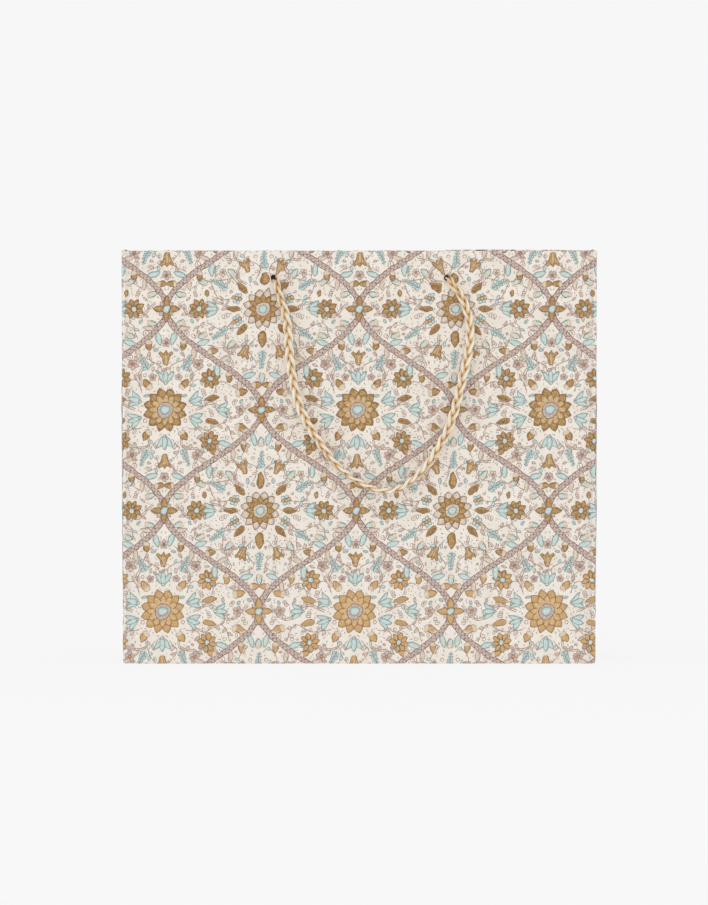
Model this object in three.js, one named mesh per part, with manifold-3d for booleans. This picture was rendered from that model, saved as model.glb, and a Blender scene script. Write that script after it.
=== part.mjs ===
// Gift bag of printed handmade paper with two plaited rope handles.
//
// The bag is one creased and glued sheet with a turned-in hem, card strips behind the handle
// holes, a base of four glued flaps and a stiffening card. The sheet is divided into panels at
// the creases that move when the bag is folded flat. Millimetres, +Z up. The origin is the
// middle of the base, the front faces -Y, and the long side of the mouth runs along X.

import * as THREE from 'three';
import { mergeVertices } from 'three/addons/utils/BufferGeometryUtils.js';
import Module from 'manifold-3d';

const wasm = await Module();
wasm.setup();

// Driving dimensions of the open bag
const WIDTH = 230;
const DEPTH = 88;
const HEIGHT = 200;
const PAPER = 0.5;
const CARD = 1.2;
const GAP = 0.3;

// The mouth: hem turned in over a card strip
const HEM_DEPTH = 36;
const STRIP_THICK = 1.0;
const STRIP_DEPTH = 32;
const STRIP_WIDTH = 222;
const LAYER_GAP = 0.1;

// The handles: a plaited cord knotted behind two punched holes
const CORD = 4.6;
const CORD_SIDES = 10;
const CORD_STEPS = 64;
const HOLE_SPACING = 84;
const HOLE_SHIFT = 0.7;
const HOLE_DROP = 13;
const HOLE_RADIUS = 2.7;
const HOLE_SIDES = 24;
const CORD_STANDOFF = 0.3;

// The knots, pushed to one side of their holes so that front and back knots pass each other
const KNOT_HALF = { x: 4.6, y: 3.7, z: 4.4 };
const KNOT_SHIFT = 6.2;
const KNOT_SPHERE = { across: 18, up: 12 };
const TAIL_LENGTH = 11;
const TAIL_RADIUS = 1.9;
const STUB_RADIUS = 2.2;
const STUB_INSIDE = 4.2;

// The base: flaps glued over each other, and the card on top
const FLAP_OVERLAP = 12;
const SIDE_FLAP = 40;
const CARD_MARGIN = 2.0;

// The seam that closes the sheet, inside the back panel
const TAB_WIDTH = 16;
const TAB_THICK = 0.4;

const halfWidth = WIDTH / 2;
const halfDepth = DEPTH / 2;
const crease = DEPTH / 2;
const innerX = halfWidth - PAPER;
const innerY = halfDepth - PAPER;
const holeZ = HEIGHT - HOLE_DROP;
const holesX = [HOLE_SHIFT - HOLE_SPACING / 2, HOLE_SHIFT + HOLE_SPACING / 2];
const stripY = innerY - LAYER_GAP - STRIP_THICK;
const hemY = stripY - LAYER_GAP - PAPER;
const cordY = halfDepth + CORD_STANDOFF + CORD / 2;
const baseTop = 3 * PAPER;
const cardBottom = baseTop + GAP;

// The route of each cord: x across the bag, how far it stands off its resting line, and how
// far it hangs below the holes. It hangs limp, the front one with its slack to one side.
const FRONT_ROUTE = [
  [-41.3, 0, -0.6], [-41, 0, 3], [-39, 0, 9], [-36.5, 0, 14.5], [-35, 0.6, 21],
  [-34.3, 1.2, 28], [-33.9, 1.7, 35], [-32.9, 2, 44], [-31, 2, 54.5], [-28.1, 1.8, 64],
  [-24.1, 1.5, 72], [-19.6, 1.2, 79], [-15.4, 1, 85], [-10.7, 0.8, 90.8], [-5.2, 0.6, 95.6],
  [1.2, 0.4, 99.6], [8, 0.3, 102.3], [14.4, 0.3, 103.2], [20.1, 0.4, 101.6], [25.6, 0.6, 98],
  [30.7, 0.8, 93.2], [35.3, 1, 87.2], [39.5, 1.2, 80.2], [43.1, 1.5, 73], [45.9, 1.8, 65],
  [48.1, 2, 56.5], [50.1, 2.1, 48], [52, 2, 40], [53.3, 1.6, 32.5], [53.6, 1, 25.5],
  [52.8, 0.3, 18.6], [51, 0, 12.4], [48.1, 0, 7], [44.6, 0, 3], [42.7, 0, -0.6],
];
const BACK_ROUTE = [
  [-41.3, 0, -0.6], [-42.4, 0, 5], [-45.2, 0, 13], [-49, 0.7, 22], [-52.4, 1.3, 31.5],
  [-54.2, 1.8, 41.5], [-53.4, 2, 51.5], [-49.6, 2, 61], [-43, 1.8, 69.5], [-34, 1.5, 76.6],
  [-23, 1.1, 82.2], [-10.8, 0.8, 86], [2, 0.6, 87.4], [14.8, 0.8, 86.2], [27, 1.1, 82.4],
  [38, 1.5, 76.2], [47, 1.8, 67.8], [53.2, 2, 57.6], [56, 1.9, 46.4], [55.2, 1.6, 35],
  [52, 0.9, 24.4], [48, 0, 14.8], [44.6, 0, 6.2], [42.7, 0, -0.6],
];

const materials = {
  printed: new THREE.MeshStandardMaterial({ color: 0xdccfbb, roughness: 0.85, metalness: 0 }),
  lining: new THREE.MeshStandardMaterial({ color: 0xe9e1d2, roughness: 0.9, metalness: 0 }),
  card: new THREE.MeshStandardMaterial({ color: 0xbfae92, roughness: 0.95, metalness: 0 }),
  cord: new THREE.MeshStandardMaterial({ color: 0xe2c596, roughness: 0.55, metalness: 0 }),
};

const bag = new THREE.Group();

function place(name, geometry, material) {
  const mesh = new THREE.Mesh(geometry, material);
  mesh.name = name;
  bag.add(mesh);
  return mesh;
}

// A flat sheet between two corners, as a closed box.
function sheet(low, high) {
  const size = high.map((value, axis) => value - low[axis]);
  const geometry = new THREE.BoxGeometry(...size);
  geometry.translate(...low.map((value, axis) => value + size[axis] / 2));
  return geometry;
}

function toSolid(geometry) {
  const bare = geometry.index ? geometry.clone() : geometry;
  bare.deleteAttribute('normal');
  bare.deleteAttribute('uv');
  const merged = mergeVertices(bare, 1e-4);
  return new wasm.Manifold(new wasm.Mesh({
    numProp: 3,
    vertProperties: new Float32Array(merged.attributes.position.array),
    triVerts: new Uint32Array(merged.index.array),
  }));
}

function toGeometry(solid) {
  const mesh = solid.getMesh();
  const geometry = new THREE.BufferGeometry();
  geometry.setAttribute('position', new THREE.BufferAttribute(mesh.vertProperties, 3));
  geometry.setIndex(new THREE.BufferAttribute(mesh.triVerts, 1));
  return geometry;
}

// A round rod along Y, centred on a handle hole.
function rodAlongY(radius, x, from, to, sides) {
  const rod = new THREE.CylinderGeometry(radius, radius, Math.abs(to - from), sides);
  rod.translate(x, (from + to) / 2, holeZ);
  return rod;
}

// The two handle holes, punched through a sheet.
function punch(geometry) {
  let solid = toSolid(geometry);
  for (const x of holesX) {
    const cutter = rodAlongY(HOLE_RADIUS, x, -DEPTH, DEPTH, HOLE_SIDES);
    solid = solid.subtract(toSolid(cutter));
  }
  return toGeometry(solid);
}

// side is -1 for the front and 1 for the back; near and far are distances from the middle.
function acrossSheet(side, width, near, far, bottom, top) {
  const ends = [side * near, side * far].sort((a, b) => a - b);
  return sheet([-width / 2, ends[0], bottom], [width / 2, ends[1], top]);
}

function makeFrontPanel() {
  const panel = acrossSheet(-1, WIDTH, innerY, halfDepth, 0, HEIGHT);
  place('front_panel', punch(panel), materials.printed);
}

// The back panel ends at the crease half the bag's depth above the base.
function makeBackPanels() {
  const upper = acrossSheet(1, WIDTH, innerY, halfDepth, crease + GAP / 2, HEIGHT);
  place('back_panel', punch(upper), materials.printed);
  const lower = acrossSheet(1, WIDTH, innerY, halfDepth, 0, crease - GAP / 2);
  place('back_lower_panel', lower, materials.printed);
}

// Each gusset has a crease down its middle.
function makeGussets() {
  for (const [sideName, side] of [['left', -1], ['right', 1]]) {
    for (const [endName, end] of [['front', -1], ['rear', 1]]) {
      const xs = [side * innerX, side * halfWidth].sort((a, b) => a - b);
      const ys = [end * GAP / 2, end * (innerY - GAP)].sort((a, b) => a - b);
      const half = sheet([xs[0], ys[0], cardBottom], [xs[1], ys[1], HEIGHT]);
      place(`${sideName}_gusset_${endName}`, half, materials.printed);
    }
  }
}

function makeMouthStrips() {
  for (const [name, side] of [['front', -1], ['back', 1]]) {
    const top = HEIGHT - LAYER_GAP;
    const strip = acrossSheet(side, STRIP_WIDTH, stripY, stripY + STRIP_THICK,
      top - STRIP_DEPTH, top);
    place(`${name}_card_strip`, punch(strip), materials.card);
    const hem = acrossSheet(side, WIDTH - 3, hemY, hemY + PAPER, HEIGHT - HEM_DEPTH, HEIGHT);
    place(`${name}_hem`, punch(hem), materials.printed);
  }
}

function makeGussetHems() {
  const outer = innerX - LAYER_GAP;
  const reach = hemY - 1.6;
  for (const [sideName, side] of [['left', -1], ['right', 1]]) {
    for (const [endName, end] of [['front', -1], ['rear', 1]]) {
      const xs = [side * (outer - PAPER), side * outer].sort((a, b) => a - b);
      const ys = [end * 2 * GAP, end * reach].sort((a, b) => a - b);
      const hem = sheet([xs[0], ys[0], HEIGHT - HEM_DEPTH], [xs[1], ys[1], HEIGHT]);
      place(`${sideName}_hem_${endName}`, hem, materials.printed);
    }
  }
}

// The bottom flaps, from the outside in: rear, front, then the two side flaps, then the card.
function makeBase() {
  const endX = innerX - GAP;
  const endY = innerY - GAP;
  const rear = sheet([-endX, -FLAP_OVERLAP, 0], [endX, endY, PAPER]);
  place('bottom_rear_flap', rear, materials.printed);
  const front = sheet([-endX, -endY, PAPER], [endX, FLAP_OVERLAP, 2 * PAPER]);
  place('bottom_front_flap', front, materials.printed);
  for (const [sideName, side] of [['left', -1], ['right', 1]]) {
    const xs = [side * endX, side * (endX - SIDE_FLAP)].sort((a, b) => a - b);
    const flap = sheet([xs[0], -endY, 2 * PAPER], [xs[1], endY, baseTop]);
    place(`bottom_${sideName}_flap`, flap, materials.printed);
  }
  const card = sheet([CARD_MARGIN - endX, 1 - endY, cardBottom],
    [endX - CARD_MARGIN, endY - 1, cardBottom + CARD]);
  place('base_card', card, materials.card);
}

function makeSeamTab() {
  const tab = sheet([1 - innerX, innerY - LAYER_GAP - TAB_THICK, crease + 2],
    [1 - innerX + TAB_WIDTH, innerY - LAYER_GAP, HEIGHT - HEM_DEPTH - 1]);
  place('seam_tab', tab, materials.lining);
}

function makeCord(name, side, route) {
  const section = new THREE.Shape();
  section.absarc(0, 0, CORD / 2, 0, 2 * Math.PI, false);
  const points = route.map(([x, out, drop]) => (
    new THREE.Vector3(x, side * (cordY + out), holeZ - drop)));
  const path = new THREE.CatmullRomCurve3(points, false, 'centripetal');
  const tube = new THREE.ExtrudeGeometry(section, {
    steps: CORD_STEPS,
    curveSegments: CORD_SIDES / 2,
    bevelEnabled: false,
    extrudePath: path,
  });
  place(name, tube, materials.cord);
}

// One knot with the stretch of cord that comes through the hole and the cut tail below it.
function makeKnot(name, side, x) {
  const centre = [x + side * KNOT_SHIFT, side * (hemY - GAP - KNOT_HALF.y), holeZ - 1];
  const ball = new THREE.SphereGeometry(1, KNOT_SPHERE.across, KNOT_SPHERE.up);
  ball.scale(KNOT_HALF.x, KNOT_HALF.y, KNOT_HALF.z);
  ball.translate(...centre);
  const stubEnds = [side * (halfDepth - LAYER_GAP), side * (hemY - STUB_INSIDE)];
  const stub = rodAlongY(STUB_RADIUS, x, ...stubEnds, CORD_SIDES);
  const tail = new THREE.CylinderGeometry(TAIL_RADIUS, TAIL_RADIUS, TAIL_LENGTH, CORD_SIDES);
  tail.rotateX(Math.PI / 2);
  tail.translate(centre[0], centre[1], centre[2] - TAIL_LENGTH / 2 - 1);
  const knot = toSolid(ball).add(toSolid(stub)).add(toSolid(tail));
  place(name, toGeometry(knot), materials.cord);
}

function makeHandles() {
  for (const [name, side, route] of [['front', -1, FRONT_ROUTE], ['back', 1, BACK_ROUTE]]) {
    makeCord(`${name}_cord`, side, route);
    makeKnot(`${name}_knot_left`, side, holesX[0]);
    makeKnot(`${name}_knot_right`, side, holesX[1]);
  }
}

makeFrontPanel();
makeBackPanels();
makeGussets();
makeMouthStrips();
makeGussetHems();
makeBase();
makeSeamTab();
makeHandles();

export default bag;
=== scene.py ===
"""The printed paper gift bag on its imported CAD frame: sheets, print, plaited handles, knots and stage."""

import math
import random

import bpy
import numpy as np
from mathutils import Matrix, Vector, noise


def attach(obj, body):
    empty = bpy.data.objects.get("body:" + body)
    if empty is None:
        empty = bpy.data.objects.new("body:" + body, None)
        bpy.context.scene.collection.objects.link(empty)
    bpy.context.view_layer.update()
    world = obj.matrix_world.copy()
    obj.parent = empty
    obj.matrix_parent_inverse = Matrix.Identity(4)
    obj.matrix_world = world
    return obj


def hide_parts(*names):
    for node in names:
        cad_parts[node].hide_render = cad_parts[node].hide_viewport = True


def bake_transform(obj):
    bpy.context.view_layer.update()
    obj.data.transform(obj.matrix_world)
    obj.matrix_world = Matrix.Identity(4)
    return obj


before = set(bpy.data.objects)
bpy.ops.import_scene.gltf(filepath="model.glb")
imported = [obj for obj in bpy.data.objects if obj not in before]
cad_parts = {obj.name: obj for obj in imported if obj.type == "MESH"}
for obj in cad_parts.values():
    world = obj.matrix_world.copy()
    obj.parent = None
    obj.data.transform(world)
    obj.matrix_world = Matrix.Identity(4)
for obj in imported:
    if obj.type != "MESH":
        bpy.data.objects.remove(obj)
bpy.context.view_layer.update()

MM = 0.001
WIDTH, DEPTH, HEIGHT = 230.0, 88.0, 200.0
HALF_W, HALF_D = WIDTH / 2, DEPTH / 2
SHEET = 0.4  # paper thickness, mm
GRID = 5.0  # mesh step on the sheets, mm
CARD_LOW, CARD_TOP = 168.0, 198.7  # the stiffening card inside the fold
CARD_THICK, CARD_IN = 0.8, 0.62  # its thickness and its distance in from the wall's face
FLAP_THICK = 0.15
CORNER = 1.8  # radius of the vertical creases
FOOT = 1.2  # radius of the crease round the base
HEM = 36.0
TAPER = 0.0045  # share by which the bag is narrower at its base
CREASE_Z = 44.0
HOLE_Z, HOLE_R = 187.0, 2.7
HOLE_SEEN = 1.65  # radius of the punched hole in the soft paper, a little under the CAD hole's
HOLES = (-41.3, 42.7)
# grid lines round a hole's middle; those up to HOLE_R become the hole's rim
HOLE_LINES = (-8, -5.2, -3.8, -2.7, -2.025, -1.35, -0.675, 0, 0.675, 1.35, 2.025, 2.7, 3.8, 5.2, 8)
CORD_Y = 46.6


def srgb(r, g, b):
    """Linear colour from 0-255 sRGB values."""
    return tuple(
        c / 12.92 if c <= 0.04045 else ((c + 0.055) / 1.055) ** 2.4
        for c in (r / 255, g / 255, b / 255)
    )


# ---------------------------------------------------------------- camera
PX = 0.4842  # mm a pixel at the front panel
FAR = 4000.0
cam_data = bpy.data.cameras.new("camera")
cam_data.sensor_width = 36
cam_data.lens = FAR * 36 / (PX * 905)
cam_data.clip_end = 100
camera = bpy.data.objects.new("camera", cam_data)
bpy.context.scene.collection.objects.link(camera)
eye = Vector((-2.54, -HALF_D - FAR, 252.0)) * MM
aim = Vector((-2.54, -HALF_D, 102.4)) * MM
camera.location = eye
camera.rotation_mode = "QUATERNION"
camera.rotation_quaternion = (aim - eye).to_track_quat("-Z", "Y")
bpy.context.scene.camera = camera


# ---------------------------------------------------------------- materials
def material(name, rough, specular=0.3):
    m = bpy.data.materials.new(name)
    m.use_nodes = True
    shader = m.node_tree.nodes["Principled BSDF"]
    shader.inputs["Roughness"].default_value = rough
    shader.inputs["Specular IOR Level"].default_value = specular
    return m, m.node_tree, shader


def put(tree, kind, sockets=None, links=None, **settings):
    """Adds a node, sets its properties and sockets, and links (socket -> output) pairs."""
    n = tree.nodes.new(kind)
    for key, value in settings.items():
        setattr(n, key, value)
    for key, value in (sockets or {}).items():
        n.inputs[key].default_value = value
    for key, value in (links or {}).items():
        tree.links.new(value, n.inputs[key])
    return n


def noise_of(tree, vector, scale, detail=3.0, rough=0.55):
    n = put(
        tree,
        "ShaderNodeTexNoise",
        {"Scale": scale, "Detail": detail, "Roughness": rough},
        {"Vector": vector},
    )
    return n.outputs["Fac"]


def ramp(tree, fac, stops):
    n = put(tree, "ShaderNodeValToRGB", None, {"Fac": fac})
    e = n.color_ramp.elements
    while len(e) < len(stops):
        e.new(0.5)
    for k, (at, colour) in enumerate(stops):
        e[k].position = at
        e[k].color = (*colour, 1) if len(colour) == 3 else colour
    return n.outputs["Color"]


def mix(tree, fac, a, b, kind="MIX"):
    n = tree.nodes.new("ShaderNodeMix")
    n.data_type, n.blend_type = "RGBA", kind
    for key, value in ((0, fac), (6, a), (7, b)):
        if isinstance(value, (int, float)):
            n.inputs[key].default_value = value
        elif isinstance(value, tuple):
            n.inputs[key].default_value = (*value, 1)
        else:
            tree.links.new(value, n.inputs[key])
    return n.outputs[2]


def grey(v):
    return (v, v, v)


def bump(tree, shader, height, strength, distance):
    n = put(tree, "ShaderNodeBump", {"Strength": strength, "Distance": distance}, {"Height": height})
    tree.links.new(n.outputs["Normal"], shader.inputs["Normal"])


def stretched(tree, vector, scale):
    n = put(tree, "ShaderNodeMapping", {"Scale": scale}, {"Vector": vector})
    return n.outputs["Vector"]


def uv_of(tree):
    return put(tree, "ShaderNodeTexCoord").outputs["UV"]


def paper(name, light, dark, fleck, rough=0.78):
    """Uncoated paper: cloudy tone, long fibres, sparse flecks and a fine tooth."""
    m, t, s = material(name, rough, 0.22)
    uv = uv_of(t)
    cloud = ramp(t, noise_of(t, uv, 7, 5), [(0.34, dark), (0.62, light)])
    fibre = noise_of(t, stretched(t, uv, (30, 240, 1)), 1.0, 4, 0.6)
    fibre2 = noise_of(t, stretched(t, uv, (260, 34, 1)), 1.0, 4, 0.6)
    veil = ramp(t, fibre, [(0.3, grey(0.93)), (0.58, grey(1.0))])
    veil2 = ramp(t, fibre2, [(0.3, grey(0.94)), (0.58, grey(1.0))])
    tone = mix(t, 1.0, mix(t, 1.0, cloud, veil, "MULTIPLY"), veil2, "MULTIPLY")
    spots = ramp(t, noise_of(t, uv, 150, 2), [(0.70, grey(0.0)), (0.76, grey(1.0))])
    weight = mix(t, 1.0, spots, grey(0.45), "MULTIPLY")
    t.links.new(mix(t, weight, tone, fleck), s.inputs["Base Color"])
    grain = noise_of(t, uv, 420, 4, 0.65)
    both = mix(t, 0.45, grain, noise_of(t, uv, 28, 4))
    bump(t, s, both, 0.35, 0.0004)
    return m


def ink(name, main, light, dark, rough=0.6, grain=0.5, painted_sheen=0.0):
    """Printed ink with a cloudy, slightly rubbed tone.

    painted_sheen: how far metallic ink is painted paler below the base crease, a painted reflection of the
    light the sheet catches where it leans back.
    """
    m, t, s = material(name, rough, 0.28)
    uv = uv_of(t)
    cloud = ramp(t, noise_of(t, uv, 85, 5, 0.72), [(0.36, dark), (0.50, main), (0.64, light)])
    tooth = ramp(t, noise_of(t, uv, 260, 3), [(0.30, grey(1 - 0.22 * grain)), (0.62, grey(1.0))])
    tone = mix(t, 1.0, cloud, tooth, "MULTIPLY")
    # painted reflection: ink below the base crease (developed height under about 44 mm) is painted paler
    if painted_sheen:
        height = put(t, "ShaderNodeSeparateXYZ", None, {"Vector": uv}).outputs["Y"]
        low = ramp(t, height, [(0.425, grey(painted_sheen)), (0.445, grey(0.0))])
        tone = mix(t, low, tone, srgb(232, 192, 136))
    t.links.new(tone, s.inputs["Base Color"])
    bump(t, s, noise_of(t, uv, 420, 4, 0.65), 0.25, 0.0004)
    return m


def line_ink(name, colour, rough=0.65):
    m, t, s = material(name, rough, 0.25)
    s.inputs["Base Color"].default_value = (*colour, 1)
    bump(t, s, noise_of(t, uv_of(t), 420, 3), 0.2, 0.0004)
    return m


INKS = {
    # the last number of gold, umber and honey is their painted_sheen, a painted reflection below the base
    # crease
    "gold": ink("ink_gold", srgb(187, 150, 97), srgb(214, 180, 128), srgb(153, 113, 63), 0.5, 0.9, 0.45),
    "umber": ink("ink_umber", srgb(164, 126, 77), srgb(186, 148, 98), srgb(134, 98, 56), 0.5, 0.9, 0.45),
    "honey": ink("ink_honey", srgb(214, 182, 132), srgb(228, 202, 160), srgb(192, 155, 104), 0.5, 0.7, 0.3),
    "aqua": ink("ink_aqua", srgb(205, 223, 216), srgb(221, 233, 225), srgb(186, 209, 204), 0.7, 0.6),
    "teal": ink("ink_teal", srgb(183, 203, 198), srgb(198, 215, 209), srgb(163, 185, 182), 0.7, 0.6),
    "mauve": ink("ink_mauve", srgb(211, 190, 181), srgb(224, 207, 198), srgb(192, 168, 159), 0.6, 1.0),
    "plum": ink("ink_plum", srgb(180, 152, 143), srgb(196, 170, 161), srgb(158, 130, 122)),
    "buff": ink("ink_buff", srgb(226, 210, 188), srgb(237, 224, 205), srgb(210, 191, 166)),
    "fine": line_ink("line_fine", srgb(174, 146, 134)),
    "brown": line_ink("line_brown", srgb(140, 107, 84)),
    "slate": line_ink("line_slate", srgb(138, 154, 154)),
    "dark": line_ink("line_dark", srgb(106, 82, 68)),
}
LINES = ("fine", "brown", "slate", "dark")
# light, dark and fleck tones
WHITE_PAPER = srgb(246, 243, 236), srgb(239, 235, 227), srgb(214, 204, 190)
GREY_CARD = srgb(226, 221, 210), srgb(212, 205, 192), srgb(150, 140, 126)
GROUND = paper("paper_printed", srgb(246, 238, 227), srgb(239, 230, 217), srgb(206, 186, 164))
LINING = paper("paper_lining", *WHITE_PAPER)
CARD = paper("grey_card", *GREY_CARD, 0.85)


# ---------------------------------------------------------------- curves
def spline(points, per=6):
    """Smooth polyline through points (2-D or 3-D), per pieces between neighbours."""
    p = np.array(points, float)
    ends = np.vstack([2 * p[0] - p[1], p, 2 * p[-1] - p[-2]])
    out = []
    for k in range(len(p) - 1):
        a, b, c, d = ends[k : k + 4]
        for t in np.linspace(0, 1, per, endpoint=False):
            out.append(
                0.5
                * (
                    2 * b
                    + (c - a) * t
                    + (2 * a - 5 * b + 4 * c - d) * t * t
                    + (3 * b - a - 3 * c + d) * t**3
                )
            )
    out.append(p[-1])
    return np.array(out)


def even(points, step):
    """The same polyline with corners step apart."""
    p = np.array(points, float)
    run = np.concatenate([[0], np.cumsum(np.linalg.norm(np.diff(p, axis=0), axis=1))])
    n = max(2, round(run[-1] / step))
    at = np.linspace(0, run[-1], n + 1)
    return np.stack([np.interp(at, run, p[:, k]) for k in range(p.shape[1])], 1), at


def heading(path, k):
    """A path's direction at corner k, in degrees clockwise from straight up."""
    d = path[k + 1] - path[k - 1]
    return math.degrees(math.atan2(d[0], d[1]))


def across(path):
    """The unit direction across a flat path at each of its corners."""
    d = np.gradient(path, axis=0)
    d /= np.maximum(np.linalg.norm(d, axis=1), 1e-9)[:, None]
    return np.stack([-d[:, 1], d[:, 0]], 1)


# ---------------------------------------------------------------- print: pens and motifs
PERIOD_U, PERIOD_V = 93.4, 97.8
COLUMN = PERIOD_U / 2
NODE_S, NODE_T = 0.0, 172.0  # a node of the trellis on the developed sheet
LEAN = 0.015  # how far the print leans, mm a mm
rng = random.Random(7)
bits = []  # (ink, layer, convex points) of one repeat
strokes = [0]


def own(layer):
    """The layer and a small step of the stroke's own: strokes of one layer never lie in one plane."""
    strokes[0] += 1
    return layer + 0.9 * (strokes[0] * 7 % 31) / 31


class Pen:
    """Draws in its own frame: x to the side, y along the motif's growth, in mm."""

    def __init__(self, m=None):
        self.m = np.array([[1, 0, 0], [0, -1, 0]], float) if m is None else m

    def at(self, x, y, turn=0.0, flip=1):
        """A pen at (x, y) turned clockwise by turn degrees; flip -1 mirrors its x."""
        a = math.radians(turn)
        c, s = math.cos(a), math.sin(a)
        local = np.array([[c * flip, s, x], [-s * flip, c, y], [0, 0, 1]])
        return Pen(self.m @ local)

    def page(self, points):
        p = np.asarray(points, float)
        return p @ self.m[:, :2].T + self.m[:, 2]

    def face(self, colour, layer, points):
        bits.append((colour, own(layer), self.page(points)))

    def fan(self, colour, layer, centre, ring):
        ring, c, layer = self.page(ring), self.page([centre])[0], own(layer)
        for k in range(len(ring)):
            bits.append((colour, layer, np.array([c, ring[k], ring[(k + 1) % len(ring)]])))

    def strip(self, colour, layer, left, right):
        left, right, layer = self.page(left), self.page(right), own(layer)
        for k in range(len(left) - 1):
            corners = left[k], left[k + 1], right[k + 1], right[k]
            bits.append((colour, layer, np.array(corners)))

    def blade(self, colour, layer, path, half, edge=None, edge_half=0.15):
        """A band along path with half-width half (number or one a corner)."""
        p = np.array(path, float)
        n = across(p) * (np.ones(len(p)) * half)[:, None]
        self.strip(colour, layer, p + n, p - n)
        if edge:
            self.line(edge, layer + 1, p + n, edge_half)
            self.line(edge, layer + 1, p - n, edge_half)

    def line(self, colour, layer, path, half=0.17, taper=False):
        p = np.array(path, float)
        if taper:
            half = half * (1 - 0.75 * np.linspace(0, 1, len(p)) ** 2)
        self.blade(colour, layer, p, half)

    def ring(self, colour, layer, x, y, r, half=0.15, n=14):
        a = np.linspace(0, 2 * math.pi, n + 1)
        self.line(colour, layer, np.stack([x + r * np.cos(a), y + r * np.sin(a)], 1), half)

    def ball(self, colour, layer, x, y, r, edge=None, n=12):
        a = np.linspace(0, 2 * math.pi, n + 1)
        uneven = r * (1 + 0.07 * np.sin(2 * a + x + 2 * y) + 0.05 * np.sin(3 * a + 3 * x))
        rim = np.stack([x + uneven * np.cos(a), y + uneven * np.sin(a)], 1)
        self.fan(colour, layer, (x, y), rim[:-1])
        if edge:
            self.line(edge, layer + 1, rim, 0.15)

    def dots(self, colour, layer, spots, r=0.24):
        for x, y in spots:
            self.face(colour, layer, [(x - r, y), (x, y - r), (x + r, y), (x, y + r)])


def arc_path(length, bend=0.0, n=9):
    t = np.linspace(0, 1, n)
    return np.stack([bend * t * t * length, t * length], 1)


def petal(pen, colours, layer, length, width, bend=0.0, belly=0.42, edge="brown", n=9):
    """A pointed petal from the pen's origin: dark edge, main tone, light heart."""
    t = np.linspace(0, 1, n)
    shape = np.sin(math.pi * t ** (math.log(0.5) / math.log(belly))) ** 0.8
    shape[0] = 0.25
    path = arc_path(length, bend, n)
    half = shape * width / 2
    pen.blade(colours[0], layer, path, half, edge, 0.14)
    if len(colours) > 1:
        pen.blade(colours[1], layer + 1, path[1:-1] + (0.06 * width, 0), half[1:-1] * 0.66)
    if len(colours) > 2:
        pen.blade(colours[2], layer + 2, path[2:-3] - (0.05 * width, 0), half[2:-3] * 0.24)


GOLD, DEEP, AQUA = ("umber", "gold"), ("gold", "umber"), ("teal", "aqua")


def bud(pen, colours, length, width, cup="buff"):
    """A closed bud on a small cup."""
    petal(pen.at(0, length * 0.16), colours, 3, length * 0.84, width, 0, 0.40)
    pen.blade(
        cup,
        5,
        arc_path(length * 0.34, 0, 5),
        np.array([0.2, 0.36, 0.5, 0.52, 0.30]) * width,
        "fine",
        0.12,
    )


def bell(pen, colours, length, width, edge="slate"):
    """A hanging bell flower: shoulder, flare and three lobes at the mouth."""
    t = np.linspace(0, 1, 8)
    half = width * (0.10 + 0.22 * np.sqrt(t) + 0.20 * t**4)
    path = arc_path(length * 0.8, 0, 8)
    pen.blade(colours[0], 3, path, half, edge)
    pen.blade(colours[-1], 4, path[1:-1], half[1:-1] * 0.6)
    y, w = length * 0.8, width * 0.52
    for x in (-0.68, 0.0, 0.68):
        reach = length * (0.22 if x == 0 else 0.16)
        pen.face(colours[0], 3, [(x * w - w * 0.34, y), (x * w * 1.25, y + reach), (x * w + w * 0.34, y)])
        pen.line(edge, 4, [(x * w - w * 0.34, y), (x * w * 1.25, y + reach), (x * w + w * 0.34, y)], 0.13)
    for x in (-0.16, 0.16):
        pen.line(edge, 5, [(x * width * 0.5, length * 0.18), (x * width, y)], 0.1)


def tulip(pen, colours=AQUA, size=5.0, edge="slate"):
    """Three pointed petals in a cup."""
    for turn, bend in ((-22, -0.25), (22, 0.25), (0, 0.0)):
        petal(pen.at(0, 0, turn), colours, 3 if turn else 4, size, size * 0.36, bend, 0.45, edge, 7)
    pen.ball("buff", 5, 0, 0.3, size * 0.11, edge, 8)


def feather(pen, colours=AQUA, length=9.0, width=3.6, edge="slate", pairs=5):
    """A serrated leaf: midrib with pairs of rounded lobes that get smaller."""
    spine = arc_path(length, 0.06, 12)
    pen.blade(colours[-1], 3, spine, width * 0.24 * (1 - 0.8 * np.linspace(0, 1, 12) ** 2))
    for k in range(pairs):
        f = (k + 0.5) / pairs
        here = spine[int(f * 10)]
        for side in (-1, 1):
            lobe = pen.at(here[0], here[1], side * (62 - 18 * f))
            reach = width * 0.56 * (1 - 0.55 * f)
            petal(lobe, colours if side > 0 else colours[-1:], 3, reach, reach * 0.62, 0, 0.6, edge, 6)
    pen.line(edge, 6, spine, 0.14, True)


def leaf(pen, length=4.0, width=1.7, colour=None, edge="fine", bend=0.1):
    """A small leaf, outlined only unless it has a colour."""
    if colour:
        petal(pen, (colour,), 2, length, width, bend, 0.45, edge, 7)
    else:
        t = np.linspace(0, 1, 7)
        half = np.sin(math.pi * t**0.87) ** 0.8 * width / 2
        for side in (-1, 1):
            pen.line(edge, 2, arc_path(length, bend, 7) + np.stack([side * half, 0 * t], 1), 0.14)
    pen.line(edge, 4, arc_path(length * 0.8, bend, 5), 0.09)


def curl(pen, r, turns=1.3, half=0.14):
    """A tendril that rolls up."""
    a = np.linspace(0, turns * 2 * math.pi, int(9 * turns) + 3)
    k = 1 - 0.72 * a / a[-1]
    x, y = r * (1 - k * np.cos(a)), r * k * np.sin(a)
    pen.line("fine", 1, np.stack([x, y], 1), half)
    pen.dots("fine", 1, [(x[-1], y[-1])], 0.34)


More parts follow.
